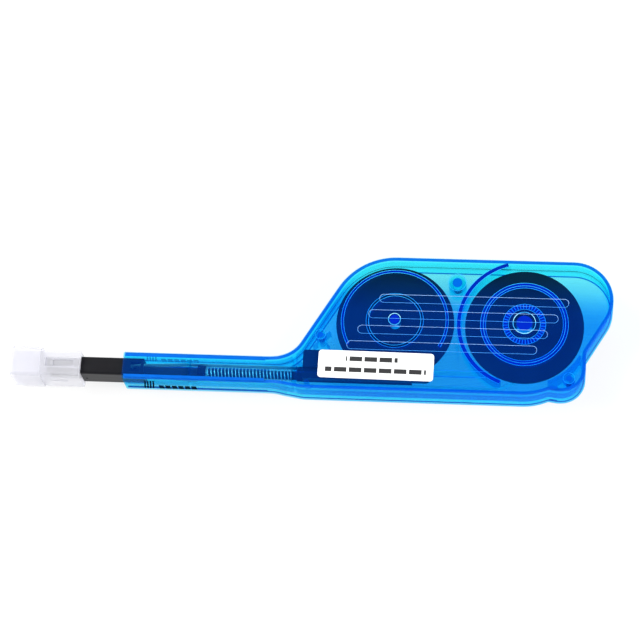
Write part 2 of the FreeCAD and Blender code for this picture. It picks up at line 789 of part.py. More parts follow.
def pawl_arm(inner_radius, arm_radius, tip_radius, z, start_deg, span_deg):
    """A springy arm that leaves a ring, runs round it and ends in a tooth."""
    outer_radius = arm_radius + pawl_thick
    overlap = pawl_thick / 2
    root = arc_wall((0, 0), (inner_radius - overlap, outer_radius), z, start_deg, start_deg + pawl_root_deg)
    arm = arc_wall((0, 0), (arm_radius, outer_radius), z, start_deg, start_deg + span_deg)
    end = start_deg + span_deg
    tip = [polar((0, 0), arm_radius, end - pawl_tip_deg[0]), polar((0, 0), arm_radius, end)]
    tip += [polar((0, 0), tip_radius, end), polar((0, 0), outer_radius, end - pawl_tip_deg[1])]
    return [root, arm, prism(polygon(tip), z)]


def make_drive_pawl_ring():
    z = (reel_low + bearing_gap, reel_low + ratchet_thick)
    ring_radius = gear_hub_radius + pawl_hub_wall
    tip_radius = drive_ratchet_radius - ratchet_depth + pawl_bite
    pieces = [post((0, 0), ring_radius, z)]
    tooth_angle = 360 / ratchet_teeth
    for turn in (0, 180):
        end = turn + drive_pawl_tooth * tooth_angle - drive_pawl_back_deg
        pieces += pawl_arm(ring_radius, pawl_arm_radius, tip_radius, z, end - pawl_span_deg, pawl_span_deg)
    pawls = joined(pieces).cut(keyed_hub((0, 0), gear_hub_radius + fixed_fit, z, hub_flat_offset + fixed_fit))
    pawls.translate(vec(*takeup_centre))
    return pawls


def make_takeup_reel():
    hub = post((0, 0), hub_radius, (reel_low, disc_low))
    disc = post((0, 0), reel_radius, (disc_low, disc_high))
    teeth = saw_teeth(stop_ratchet_radius, stop_ratchet_radius - ratchet_depth)
    rim = prism(teeth, (reel_low, reel_low + ratchet_thick))
    reel = joined([hub, disc, rim])
    inner = saw_teeth(drive_ratchet_radius - ratchet_depth, drive_ratchet_radius)
    reel = reel.cut(prism(inner, (reel_low - 1, reel_low + ratchet_thick + ratchet_recess)))
    reel = reel.cut(post((0, 0), takeup_axle_radius + running_gap, (0, body_height)))
    reel.translate(vec(*takeup_centre))
    return reel


def make_stop_pawl():
    """A leaf on a post beside the take-up reel, with its tip in the reel's outer teeth."""
    z = (reel_low, reel_low + ratchet_thick)
    local_post = (stop_post[0] - takeup_x, stop_post[1])
    eye_radius = stop_post_radius + stop_pawl_eye_wall
    eye = ring(local_post, (stop_post_radius + fixed_fit, eye_radius), z)
    face = stop_pawl_tooth * 360 / ratchet_teeth - stop_pawl_back_deg
    touch_radius = stop_ratchet_radius - ratchet_depth + stop_pawl_bite
    touch = polar((0, 0), touch_radius, face)
    crest = polar((0, 0), touch_radius + stop_pawl_thick, face)
    back, front = [polar(local_post, eye_radius - fixed_fit, angle) for angle in stop_pawl_root_deg]
    middle = ((front[0] + touch[0]) / 2, (front[1] + touch[1]) / 2 + stop_pawl_arch)
    arm = prism(polygon([back, crest, touch, middle, front]), z)
    pawl = joined([eye, arm]).cut(post(local_post, stop_post_radius + fixed_fit, z))
    pawl.translate(vec(*takeup_centre))
    return pawl


def make_supply_reel():
    hub = post((0, 0), hub_radius, (reel_low, disc_low))
    disc = post((0, 0), reel_radius, (disc_low, disc_high))
    collar = post((0, 0), supply_collar_radius, (disc_high, hub_key_low))
    key = keyed_hub((0, 0), supply_key_radius, (hub_key_low, hub_key_high), supply_key_flat)
    reel = joined([hub, disc, collar, key])
    return reel.cut(post((0, 0), supply_axle_radius + running_gap, (0, body_height)))


def make_click_ring():
    """A thin ring keyed on the supply hub, with two humps that click over the crown's teeth."""
    pieces = [post((0, 0), crown_ring[1] - click_hump_inset, (click_low, click_high))]
    hump_y = (-click_hump_half, click_hump_half)
    hump_z = (click_low, crown_low + crown_tooth_height - click_hump_gap)
    for side in (-1, 1):
        reach = [side * (crown_ring[0] + click_hump_inset), side * (crown_ring[1] - click_hump_inset)]
        pieces.append(block(sorted(reach), hump_y, hump_z))
    click = joined(pieces)
    key = keyed_hub((0, 0), supply_key_radius + fixed_fit, (0, body_height), supply_key_flat + fixed_fit)
    return click.cut(key)


def make_roll(centre, radius):
    return ring(centre, (hub_radius + press_fit, radius), (tape_low, tape_high))


def make_drive_rack():
    """The toothed bar beside the drive gear, with the foot that carries the carriage's skirt."""
    pitch = math.pi * gear_module
    pitch_y = -pitch_radius
    lean = math.tan(math.radians(pressure_deg))
    addendum = gear_module * gear_addendum
    dedendum = gear_module * gear_dedendum
    half = (pitch / 2 - gear_backlash) / 2
    count = int(math.ceil(push_travel / pitch)) + 3
    start_x = takeup_x + pitch - (count - 1) * pitch
    points = [(start_x - pitch / 2, pitch_y - dedendum)]
    for number in range(count):
        middle = start_x + number * pitch
        root_half = half + dedendum * lean
        tip_half = half - addendum * lean
        points.append((middle - root_half, pitch_y - dedendum))
        points.append((middle - tip_half, pitch_y + addendum))
        points.append((middle + tip_half, pitch_y + addendum))
        points.append((middle + root_half, pitch_y - dedendum))
    end_x = start_x + (count - 1) * pitch + pitch / 2
    back_y = pitch_y - dedendum - rack_back
    points += [(end_x, pitch_y - dedendum), (end_x, back_y), (start_x - pitch / 2, back_y)]
    bar_solid = prism(polygon(points), (gear_low, gear_high))
    foot_x = (start_x - pitch / 2, start_x - pitch / 2 + rack_foot_length)
    foot = block(foot_x, (skirt_front_y, back_y + rack_foot_overlap), (gear_low, gear_high))
    return joined([bar_solid, foot])


# ---------- tape runs ----------

def make_tape_feed_run():
    """Clean tape from the supply roll round the post at the wall's end and along the front wall."""
    roll = supply_roll_radius + tape_thick / 2 + tape_gap
    angle = outer_tangent(supply_centre, roll, wall_end, tape_bend, 1)
    leave = polar(supply_centre, roll, angle)
    arrive = polar(wall_end, tape_bend, angle)
    half = tape_thick / 2
    turn = arc_wall(wall_end, (tape_bend - half, tape_bend + half), (tape_low, tape_high), -90, angle)
    pieces = [strip([leave, arrive]), turn, strip([(wall_end[0], feed_y), (spring_wall_mid, feed_y)])]
    return joined(pieces)


def make_tape_return_run():
    """Used tape from the neck to the take-up roll."""
    roll = takeup_roll_radius + tape_thick / 2 + tape_gap
    turn = (return_post[0], return_y)
    angle = outer_tangent(turn, 0, takeup_centre, roll, -1)
    return strip([(spring_wall_mid, return_y), turn, polar(takeup_centre, roll, angle)])


def make_tape_leg(side):
    neck_y = pen_y + side * tape_leg_offset
    entry_y = pen_y + side * tape_entry_offset
    bend_x = bulkhead_x - bulkhead_thick / 2
    return strip([(spring_wall_mid, neck_y), (bend_x, neck_y), (sleeve_rear_x, entry_y)])


def make_tape_loop():
    """The loop of tape round the tongue's end, inside the nose."""
    half = tape_thick / 2
    end = (tongue_front_x + tongue_thick / 2, pen_y)
    pieces = [arc_wall(end, (tape_side - half, tape_side + half), (tape_low, tape_high), 90, 270)]
    for side in (-1, 1):
        settle_x = tongue_rear_x - tongue_thick / 4
        route = [(sleeve_rear_x, pen_y + side * tape_entry_offset), (settle_x, pen_y + side * tape_side)]
        pieces.append(strip(route + [(end[0], pen_y + side * tape_side)]))
    return joined(pieces)


# ---------- guide cap ----------

cap_rear_x = sleeve_front_x - cap_seat_gap
cap_step_x = cap_rear_x - cap_skirt_length
port_floor_x = tip_front_x - port_tip_gap
port_mouth_x = port_floor_x - port_depth
cap_half_width = tip_half_width + cap_tip_clearance + cap_wall_y
cap_half_height = tip_half_height + cap_tip_clearance + cap_wall_z
head_half_width = port_width / 2 + port_wall
head_half_height = port_height / 2 + port_wall + head_extra


def make_cap():
    skirt = rounded_bar(cap_half_width, cap_half_height, (cap_step_x, cap_rear_x), cap_skirt_radius)
    head = rounded_bar(head_half_width, head_half_height, (port_mouth_x, cap_step_x + 1), cap_head_radius)
    cap = joined([skirt, head])
    seat_half = (tip_half_width + cap_tip_clearance, tip_half_height + cap_tip_clearance)
    seat_x = (port_floor_x - 1, cap_rear_x + 1)
    cap = cap.cut(rounded_bar(seat_half[0], seat_half[1], seat_x, cap_bore_radius))
    port_x = (port_mouth_x - 1, port_floor_x)
    cap = cap.cut(rounded_bar(port_width / 2, port_height / 2, port_x, cap_bore_radius))
    top_z = pen_z + cap_half_height
    channel_x = (cap_step_x + cap_channel_start, cap_rear_x + 1)
    channel_y = (pen_y - cap_channel_half, pen_y + cap_channel_half)
    cap = cap.cut(block(channel_x, channel_y, (top_z - cap_channel_depth, top_z + 1)))
    pocket_x = (cap_step_x + cap_pocket_inset[0], cap_rear_x - cap_pocket_inset[1])
    pocket_y = (pen_y - cap_pocket_half, pen_y + cap_pocket_half)
    cap = cap.cut(block(pocket_x, pocket_y, (top_z - cap_pocket_depth, top_z + 1)))
    front_y = (pen_y - cap_half_width - 1, pen_y - cap_half_width + cap_groove_width)
    for start, end, rise in cap_grooves:
        groove_z = (pen_z + rise, pen_z + rise + cap_groove_width)
        cap = cap.cut(block((cap_rear_x - start, cap_rear_x - end), front_y, groove_z))
    return cap


def make_cap_lid():
    hollow_half = (head_half_width + lid_gap, head_half_height + lid_gap)
    front_x = port_mouth_x - lid_gap - lid_front
    x = (front_x, cap_step_x - lid_gap)
    shell = rounded_bar(hollow_half[0] + lid_wall, hollow_half[1] + lid_wall, x, lid_radii[0])
    lip_root_y = pen_y + hollow_half[0] + lid_wall
    lip_y = (lip_root_y - lid_lip_root, lip_root_y + lid_lip)
    lip = block(x, lip_y, (pen_z - lid_lip_half, pen_z + lid_lip_half))
    hollow = rounded_bar(hollow_half[0], hollow_half[1], (front_x + lid_front, x[1] + 1), lid_radii[1])
    return joined([shell, lip]).cut(hollow)


# ---------- all the pieces ----------

nodes = {
    "lower_shell": make_lower_shell(),
    "upper_shell": make_upper_shell(),
    "label": make_label(),
    "stop_pawl": make_stop_pawl(),
    "nose_sleeve": make_nose_sleeve(),
    "tip_guide": make_tip_guide(),
    "tape_head": make_tape_head(),
    "push_rod": make_push_rod(),
    "spring_collar": make_spring_collar(),
    "return_spring": make_return_spring(),
    "carriage": make_carriage(),
    "drive_rack": make_drive_rack(),
    "drive_gear": make_drive_gear(),
    "drive_pawl_ring": make_drive_pawl_ring(),
    "takeup_reel": make_takeup_reel(),
    "takeup_tape": make_roll(takeup_centre, takeup_roll_radius),
    "supply_reel": make_supply_reel(),
    "supply_tape": make_roll(supply_centre, supply_roll_radius),
    "click_ring": make_click_ring(),
    "tape_feed_run": make_tape_feed_run(),
    "tape_return_run": make_tape_return_run(),
    "tape_feed_leg": make_tape_leg(-1),
    "tape_return_leg": make_tape_leg(1),
    "tape_loop": make_tape_loop(),
    "cap": make_cap(),
    "cap_lid": make_cap_lid(),
}

os.makedirs("parts", exist_ok=True)
for name, shape in nodes.items():
    shape.exportStep("parts/" + name + ".step")
    print(name, len(shape.Solids), "solid", round(shape.Volume, 2), "mm3", "valid", shape.isValid())
print("push travel", round(push_travel, 3))
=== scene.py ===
import math
import bpy
from mathutils import Matrix, Vector


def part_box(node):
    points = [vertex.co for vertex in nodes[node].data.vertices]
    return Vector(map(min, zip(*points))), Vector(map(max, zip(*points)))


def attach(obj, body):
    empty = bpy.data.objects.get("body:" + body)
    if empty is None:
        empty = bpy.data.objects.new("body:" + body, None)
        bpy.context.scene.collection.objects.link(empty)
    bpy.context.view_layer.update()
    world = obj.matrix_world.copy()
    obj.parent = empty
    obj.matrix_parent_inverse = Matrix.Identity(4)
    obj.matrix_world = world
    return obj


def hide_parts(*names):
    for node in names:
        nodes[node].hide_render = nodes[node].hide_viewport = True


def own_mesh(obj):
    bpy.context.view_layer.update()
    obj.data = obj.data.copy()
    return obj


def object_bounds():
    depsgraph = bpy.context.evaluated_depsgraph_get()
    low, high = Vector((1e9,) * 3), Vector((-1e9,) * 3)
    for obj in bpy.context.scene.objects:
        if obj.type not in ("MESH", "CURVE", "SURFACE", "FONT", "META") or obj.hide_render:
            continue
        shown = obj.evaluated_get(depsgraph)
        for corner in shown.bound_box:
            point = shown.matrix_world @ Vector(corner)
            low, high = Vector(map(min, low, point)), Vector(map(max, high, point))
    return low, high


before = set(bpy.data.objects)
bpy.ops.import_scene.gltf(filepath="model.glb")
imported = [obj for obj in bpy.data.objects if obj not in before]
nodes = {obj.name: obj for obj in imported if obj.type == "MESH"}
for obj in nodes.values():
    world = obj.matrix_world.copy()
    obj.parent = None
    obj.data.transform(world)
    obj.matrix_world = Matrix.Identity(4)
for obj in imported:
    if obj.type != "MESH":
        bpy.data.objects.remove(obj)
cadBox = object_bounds()
print("frame loaded:", len(nodes), "nodes")


# Shader maths: a Wire is a node's output, and arithmetic on it adds Math nodes
class Wire:
    def __init__(self, socket):
        self.socket = socket

    def calc(self, operation, first, second=0.0):
        return addNode(self.socket.id_data, "ShaderNodeMath", {"operation": operation}, {0: first, 1: second})

    def pick(self, name):
        return Wire(self.socket.node.outputs[name])

    def atLeast(self, limit):
        return self.calc("MAXIMUM", self, limit)

    def atMost(self, limit):
        return self.calc("MINIMUM", self, limit)

    def absolute(self):
        return self.calc("ABSOLUTE", self)

    def fraction(self):
        return self.calc("FRACT", self)

    def cosine(self):
        return self.calc("COSINE", self)

    def sine(self):
        return self.calc("SINE", self)

    def __add__(self, other):
        return self.calc("ADD", self, other)

    def __radd__(self, other):
        return self.calc("ADD", other, self)

    def __sub__(self, other):
        return self.calc("SUBTRACT", self, other)

    def __rsub__(self, other):
        return self.calc("SUBTRACT", other, self)

    def __mul__(self, other):
        return self.calc("MULTIPLY", self, other)

    def __rmul__(self, other):
        return self.calc("MULTIPLY", other, self)

    def __truediv__(self, other):
        return self.calc("DIVIDE", self, other)

    def __pow__(self, other):
        return self.calc("POWER", self, other)

    def __gt__(self, other):
        return self.calc("GREATER_THAN", self, other)

    def __lt__(self, other):
        return self.calc("LESS_THAN", self, other)


def addNode(tree, kind, settings, values):
    node = tree.nodes.new(kind)
    for key, value in settings.items():
        if key == "stops":
            elements = node.color_ramp.elements
            while len(elements) < len(value):
                elements.new(0.5)
            for element, (place, colour) in zip(elements, value):
                element.position = place
                element.color = colour
        else:
            setattr(node, key, value)
    for key, value in values.items():
        if isinstance(value, list):  # a socket that takes many links
            for wire in value:
                tree.links.new(wire.socket, node.inputs[key])
        elif isinstance(value, Wire):
            tree.links.new(value.socket, node.inputs[key])
        else:
            node.inputs[key].default_value = value
    return Wire(node.outputs[0]) if node.outputs else None


def newMaterial(name):
    material = bpy.data.materials.new(name)
    material.use_nodes = True
    material.node_tree.nodes.clear()
    return material, material.node_tree


def objectPlace(tree):
    return addNode(tree, "ShaderNodeTexCoord", {}, {}).pick("Object")


def split(tree, vector):
    return addNode(tree, "ShaderNodeSeparateXYZ", {}, {0: vector})


def noise(tree, place, scale, detail=3.0, stretch=None):
    if stretch:
        place = addNode(tree, "ShaderNodeMapping", {}, {"Vector": place, "Scale": stretch})
    return addNode(tree, "ShaderNodeTexNoise", {}, {"Vector": place, "Scale": scale, "Detail": detail})


def tint(tree, factor, first, second):
    mixed = addNode(tree, "ShaderNodeMix", {"data_type": "RGBA"}, {0: factor, 6: first, 7: second})
    return mixed.pick(2)


def brighter(colour, gain):
    return tuple(min(1.0, part * gain) for part in colour)


def bump(tree, height, depth, strength):
    return addNode(tree, "ShaderNodeBump", {}, {"Height": height, "Distance": depth, "Strength": strength})


def blend(tree, factor, first, second):
    return addNode(tree, "ShaderNodeMixShader", {}, {0: factor, 1: first, 2: second})


def finishMaterial(tree, shader):
    addNode(tree, "ShaderNodeOutputMaterial", {}, {"Surface": shader})


def within(value, low, high):
    return (value > low) * (value < high)


def ramp(value, start, end):
    return ((value - start) / (end - start)).atMost(1.0).atLeast(0.0)


def wear(node, material):
    nodes[node].data.materials.clear()
    nodes[node].data.materials.append(material)


# The case's clear tinted plastic, with painted light and shade: paler towards the back and along the neck, deeper in
# front
tintedCase = {
    "paleSkinPaintedLight": (0.97, 1.0, 1.0, 1),  # what one of its surfaces lets through at the back edge, paler there as painted light
    "deepSkinPaintedShade": (0.47, 0.80, 0.999, 1),  # and over the discs and the neck, deeper there as painted shade
    "wallSkin": (0.46, 0.88, 1.0, 1),  # and at the side of a wall, rib or post
    "wallTilt": 0.5,  # a surface that leans more than this counts as such a side
    "backPaintedLightFade": (0.006, 0.019),  # the tint fades to the paler painted light between these distances behind the discs' axis
    "fadeWander": 0.004,
    "neckPaintedLightFade": (-0.060, -0.092),  # and between these places along the pen, for the painted light on the neck
    # how far the neck turns to the paler painted light
    "neckPaintedLight": 0.75,
    "dye": (0.0, 0.955, 1.0, 1),
    "dyeDensity": 520.0,  # per metre, so walls and posts seen along their length look deeper blue
    "milk": (0.0, 0.15, 0.95, 1),
    "deepMilk": (0.0, 0.09, 0.88, 1),
    "milkShare": 0.055,
    "milkWander": 0.02,
    # how much less milk lies where the painted light is, at the back
    "backPaintedLightClearness": 0.85,
    "mirror": (0.25, 0.75, 1.0, 1),
    "polish": 0.03,  # mirror share looking straight on
    "grazing": 0.20,  # and along the surface
    "grazingPower": 5.0,
    "smoothness": 0.04,
    "scuffing": 0.08,  # what scuffs add to that roughness
    "hazeScale": 90.0,
    "scuffScale": 900.0,
    "scuffStretch": (1.0, 0.08, 1.0),
    "dentScale": 220.0,
    "dentDepth": 0.00002,
    "dentStrength": 0.3,
}

# The ink printed on it
printInk = {"colour": (0.0, 0.003, 0.016, 1), "roughness": 0.6, "cover": 0.97, "dullness": 0.85}


def makeTintedPlastic(name, look, ink, printed):
    material, tree = newMaterial(name)
    place = objectPlace(tree)
    haze = noise(tree, place, look["hazeScale"])
    scuffs = noise(tree, place, look["scuffScale"], 2.0, look["scuffStretch"])
    dents = bump(tree, noise(tree, place, look["dentScale"], 1.0), look["dentDepth"], look["dentStrength"])
    pale, deep, wall = (addNode(tree, "ShaderNodeBsdfTransparent", {}, {"Color": look[skin]})
                        for skin in ("paleSkinPaintedLight", "deepSkinPaintedShade", "wallSkin"))
    # painted light and shade: the tint turns paler towards the back and along the neck, and stays deeper in front
    along = split(tree, place)
    back = ramp(along.pick("Y") + look["fadeWander"] * haze, *look["backPaintedLightFade"])
    neck = ramp(along, *look["neckPaintedLightFade"]) * look["neckPaintedLight"]
    tilt = 1 - split(tree, place.pick("Normal")).pick("Z").absolute()
    clear = blend(tree, back.atLeast(neck), blend(tree, tilt > look["wallTilt"], deep, wall), pale)

    mark = printed(tree, place)
    milk = addNode(tree, "ShaderNodeBsdfPrincipled", {}, {
        "Base Color": tint(tree, haze, look["deepMilk"], look["milk"]), "Roughness": 0.5, "Specular IOR Level": 0.0})
    dry = addNode(tree, "ShaderNodeBsdfPrincipled", {}, {
        "Base Color": ink["colour"], "Roughness": ink["roughness"], "Specular IOR Level": 0.0})
    share = (look["milkShare"] + look["milkWander"] * haze) * (1 - look["backPaintedLightClearness"] * back)
    share = share + ink["cover"] * mark * (1 - share)
    body = blend(tree, share, clear, blend(tree, mark, milk, dry))

    facing = addNode(tree, "ShaderNodeLayerWeight", {}, {"Blend": 0.5}).pick("Facing")
    mirror = addNode(tree, "ShaderNodeBsdfAnisotropic", {}, {
        "Color": look["mirror"], "Roughness": look["smoothness"] + look["scuffing"] * scuffs, "Normal": dents})
    gloss = look["polish"] + look["grazing"] * facing ** look["grazingPower"]
    surface = blend(tree, gloss * (1 - ink["dullness"] * mark), body, mirror)
    inside = addNode(tree, "ShaderNodeVolumeAbsorption", {}, {"Color": look["dye"], "Density": look["dyeDensity"]})
    addNode(tree, "ShaderNodeOutputMaterial", {}, {"Surface": surface, "Volume": inside})
    return material


# Hatching and plain bars printed on both sides of the neck
neckPrint = {
    "hatchStart": 0.0064,
    "hatchPitch": 0.00098,
    "hatchStripes": 4,
    "hatchShare": 0.62,
    "hatchRise": (0.0030, 0.0112),
    "hatchLean": 0.12,
    "barStart": 0.0122,
    "barPitch": 0.0023,
    "barShare": 0.78,
    "bars": 6,
    "barRise": (0.0030, 0.0064),
    "printedLength": 0.04,
    "skin": (0.0016, 0.0025),  # how far outside the black sleeve's sides the printed faces lie
    "farWear": 0.55,  # the far side's print is worn
}


def stripes(along, start, pitch, count, share):
    step = (along - start) / pitch
    return (step.fraction() < share) * within(along, start, start + count * pitch)


def printedNeck(tree, place):
    look = neckPrint
    sleeveLow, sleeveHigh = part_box("nose_sleeve")
    halfWidth = (sleeveHigh.y - sleeveLow.y) / 2
    parts = split(tree, place)
    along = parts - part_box("upper_shell")[0].x
    up = parts.pick("Z")
    offset = parts.pick("Y") - (sleeveLow.y + sleeveHigh.y) / 2
    onSide = within(offset.absolute(), *(halfWidth + depth for depth in look["skin"]))
    onSide = onSide * (along < look["printedLength"]) * (1 - look["farWear"] * (offset > 0.0))
    leaning = along - look["hatchLean"] * up
    hatch = stripes(leaning, look["hatchStart"], look["hatchPitch"], look["hatchStripes"], look["hatchShare"])
    bars = stripes(along, look["barStart"], look["barPitch"], look["bars"], look["barShare"])
    marks = hatch * within(up, *look["hatchRise"]) + bars * within(up, *look["barRise"])
    return onSide * marks.atMost(1.0)


casePlastic = makeTintedPlastic("tinted_case", tintedCase, printInk, printedNeck)
wear("lower_shell", casePlastic)
wear("upper_shell", casePlastic)
print("case finished")


# Opaque moulded plastics
mouldedLooks = {
    "black_satin": {
        "colour": (0.006, 0.006, 0.008, 1), "shade": (0.010, 0.010, 0.012, 1), "roughness": 0.30,
        "grainScale": 5200.0, "grainDepth": 0.00003, "specular": 0.15,
        "pieces": ("carriage", "drive_rack", "spring_collar", "nose_sleeve")},
    "reel_black": {
        "colour": (0.004, 0.005, 0.008, 1), "shade": (0.009, 0.010, 0.014, 1), "roughness": 0.32,
        "grainScale": 3600.0, "grainDepth": 0.00003, "specular": 0.25,
        "pieces": ("takeup_reel", "supply_reel", "click_ring")},
    "white_acetal": {
        "colour": (0.66, 0.68, 0.70, 1), "shade": (0.76, 0.77, 0.78, 1), "roughness": 0.38,
        "grainScale": 3000.0, "grainDepth": 0.00002, "specular": 0.5,
        "pieces": ("drive_gear", "drive_pawl_ring", "stop_pawl", "tape_head")},
    "rod_black": {
        "colour": (0.012, 0.014, 0.020, 1), "shade": (0.020, 0.022, 0.030, 1), "roughness": 0.25,
        "grainScale": 4000.0, "grainDepth": 0.00001, "specular": 0.5,
        "pieces": ("push_rod",)},
}
mouldedWear = {
    "cloudScale": 140.0,
    "scuffScale": 700.0,
    "scuffStretch": (0.1, 1.0, 1.0),
    "scuffing": 0.12,
    "grainStrength": 0.4,
}


def makeMoulded(name, look):
    material, tree = newMaterial(name)
    place = objectPlace(tree)
    cloud = noise(tree, place, mouldedWear["cloudScale"])
    grain = noise(tree, place, look["grainScale"], 4.0)
    scuffs = noise(tree, place, mouldedWear["scuffScale"], 2.0, mouldedWear["scuffStretch"])
    finishMaterial(tree, addNode(tree, "ShaderNodeBsdfPrincipled", {}, {
        "Base Color": tint(tree, cloud, look["colour"], look["shade"]),
        "Roughness": look["roughness"] + mouldedWear["scuffing"] * scuffs,
        "Specular IOR Level": look["specular"],
        "Normal": bump(tree, grain, look["grainDepth"], mouldedWear["grainStrength"])}))
    return material


for name, look in mouldedLooks.items():
    plastic = makeMoulded(name, look)
    for node in look["pieces"]:
        wear(node, plastic)
print("opaque plastics finished")


# Frosted clear plastic of the cap and its lid, and the smoked tip
frostedLooks = {
    "frosted_clear": {
        "passes": (0.96, 0.96, 0.98, 1), "body": (0.82, 0.82, 0.86, 1), "roughness": 0.3,
        "faceOn": 0.30, "edgeOn": 0.30,  # share of frost looking straight on, and what an edge adds
        "pieces": ("cap", "cap_lid")},
    "smoked_tip": {
        "passes": (0.55, 0.57, 0.60, 1), "body": (0.10, 0.105, 0.12, 1), "roughness": 0.25,
        "faceOn": 0.45, "edgeOn": 0.35,
        "pieces": ("tip_guide",)},
}
frostTexture = {
    "cloudScale": 160.0,
    "cloudGain": 1.05,
    "cloudRoughness": 0.1,
    "cloudShare": 0.02,
    "edgeBlend": 0.45,
    "edgePower": 2.0,
    "grainScale": 4200.0,
    "grainDepth": 0.00002,
    "grainStrength": 0.15,
}


def makeFrosted(name, look):
    texture = frostTexture
    material, tree = newMaterial(name)
    place = objectPlace(tree)
    cloud = noise(tree, place, texture["cloudScale"])
    grain = noise(tree, place, texture["grainScale"], 4.0)
    facing = addNode(tree, "ShaderNodeLayerWeight", {}, {"Blend": texture["edgeBlend"]}).pick("Facing")
    solid = addNode(tree, "ShaderNodeBsdfPrincipled", {}, {
        "Base Color": tint(tree, cloud, look["body"], brighter(look["body"], texture["cloudGain"])),
        "Roughness": look["roughness"] + texture["cloudRoughness"] * cloud,
        "Normal": bump(tree, grain, texture["grainDepth"], texture["grainStrength"])})
    clear = addNode(tree, "ShaderNodeBsdfTransparent", {}, {"Color": look["passes"]})
    share = look["faceOn"] + look["edgeOn"] * facing ** texture["edgePower"] + texture["cloudShare"] * cloud
    finishMaterial(tree, blend(tree, share, clear, solid))
    return material


for name, look in frostedLooks.items():
    plastic = makeFrosted(name, look)
    for node in look["pieces"]:
        wear(node, plastic)
print("cap finished")


# The label: white film with plain bars where a label has its lines
labelLook = {
    "turn": math.radians(-0.5),
    "rows": ((0.0021, -0.0105, 0.0075), (-0.0019, -0.0175, 0.0175)),  # place across, start and end
    "rowHeight": 0.0017,
    "barPitch": 0.0052,
    "barShift": 0.03,
    "barShare": 0.84,
    "film": ((0.86, 0.86, 0.87, 1), (0.93, 0.93, 0.93, 1)),
    "ink": (0.02, 0.02, 0.022, 1),
    "roughness": 0.42,
    "fibreScale": 2600.0,
    "fibreRoughness": 0.1,
    "fibreDepth": 0.00001,
}


def makeLabelFilm(name, look):
    material, tree = newMaterial(name)
    middle = sum(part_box("label"), Vector()) / 2
    place = addNode(tree, "ShaderNodeMapping", {"vector_type": "TEXTURE"}, {
        "Vector": objectPlace(tree), "Location": middle, "Rotation": (0, 0, look["turn"])})
    parts = split(tree, place)
    dashes = ((parts + look["barShift"]) / look["barPitch"]).fraction() < look["barShare"]
    rows = [within(parts.pick("Y"), across - look["rowHeight"] / 2, across + look["rowHeight"] / 2)
            * within(parts, start, end) for across, start, end in look["rows"]]
    bars = (rows[0] + rows[1]) * dashes
    fibres = noise(tree, place, look["fibreScale"], 4.0)
    finishMaterial(tree, addNode(tree, "ShaderNodeBsdfPrincipled", {}, {
        "Base Color": tint(tree, bars, tint(tree, fibres, *look["film"]), look["ink"]),
        "Roughness": look["roughness"] + look["fibreRoughness"] * fibres,
        "Normal": bump(tree, fibres, look["fibreDepth"], 0.3)}))
    return material


wear("label", makeLabelFilm("label_film", labelLook))
print("label finished")


# Drawn steel of the return spring
steelLook = {
    "colour": (0.72, 0.74, 0.78, 1),
    "shine": 1.3,
    "roughness": 0.34,
    "lineScale": 3000.0,
    "lineStretch": (0.05, 1.0, 1.0),
    "lineRoughness": 0.12,
    "lineDepth": 0.00001,
}


def makeDrawnSteel(name, look):
    material, tree = newMaterial(name)
    lines = noise(tree, objectPlace(tree), look["lineScale"], 3.0, look["lineStretch"])
    finishMaterial(tree, addNode(tree, "ShaderNodeBsdfPrincipled", {}, {
        "Base Color": tint(tree, lines, look["colour"], brighter(look["colour"], look["shine"])),
        "Metallic": 1.0, "Roughness": look["roughness"] + look["lineRoughness"] * lines,
        "Normal": bump(tree, lines, look["lineDepth"], 0.3)}))
    return material


springSteel = makeDrawnSteel("spring_steel", steelLook)


# Woven cleaning tape
tapeLook = {
    "threadScale": 1400.0,
    "wander": 0.6,
    "cloth": ((0.66, 0.66, 0.64, 1), (0.86, 0.86, 0.84, 1)),
    "roughness": 0.75,
    "weaveRoughness": 0.15,
    "weaveDepth": 0.00003,
    "pieces": ("tape_feed_run", "tape_return_run", "tape_loop", "takeup_tape", "supply_tape",
               "tape_feed_leg", "tape_return_leg"),
}


def makeTape(name, look):
    material, tree = newMaterial(name)
    place = objectPlace(tree)
    weft, warp = (addNode(tree, "ShaderNodeTexWave", {"bands_direction": direction}, {
        "Vector": place, "Scale": look["threadScale"], "Distortion": look["wander"]}) for direction in "ZX")
    weave = weft * warp
    finishMaterial(tree, addNode(tree, "ShaderNodeBsdfPrincipled", {}, {
        "Base Color": tint(tree, weave, *look["cloth"]),
        "Roughness": look["roughness"] + look["weaveRoughness"] * weave,
        "Normal": bump(tree, weave, look["weaveDepth"], 0.5)}))
    return material


tapeCloth = makeTape("woven_tape", tapeLook)
for node in tapeLook["pieces"]:
    wear(node, tapeCloth)
print("tape finished")


# Pieces grown by Geometry Nodes
def startTree(name, sizes):
    tree = bpy.data.node_groups.new(name, "GeometryNodeTree")
    inputs = {}
    for label, value in sizes.items():
        socket = tree.interface.new_socket(label, in_out="INPUT", socket_type="NodeSocketFloat")
        inputs[socket.identifier] = value
    tree.interface.new_socket("Geometry", in_out="OUTPUT", socket_type="NodeSocketGeometry")
    given = addNode(tree, "NodeGroupInput", {}, {})
    return tree, inputs, given


def closeTree(tree, shapes, material):
    together = addNode(tree, "GeometryNodeJoinGeometry", {}, {"Geometry": shapes})
    real = addNode(tree, "GeometryNodeRealizeInstances", {}, {"Geometry": together})
    painted = addNode(tree, "GeometryNodeSetMaterial", {}, {"Geometry": real, "Material": material})
    addNode(tree, "NodeGroupOutput", {}, {"Geometry": painted})


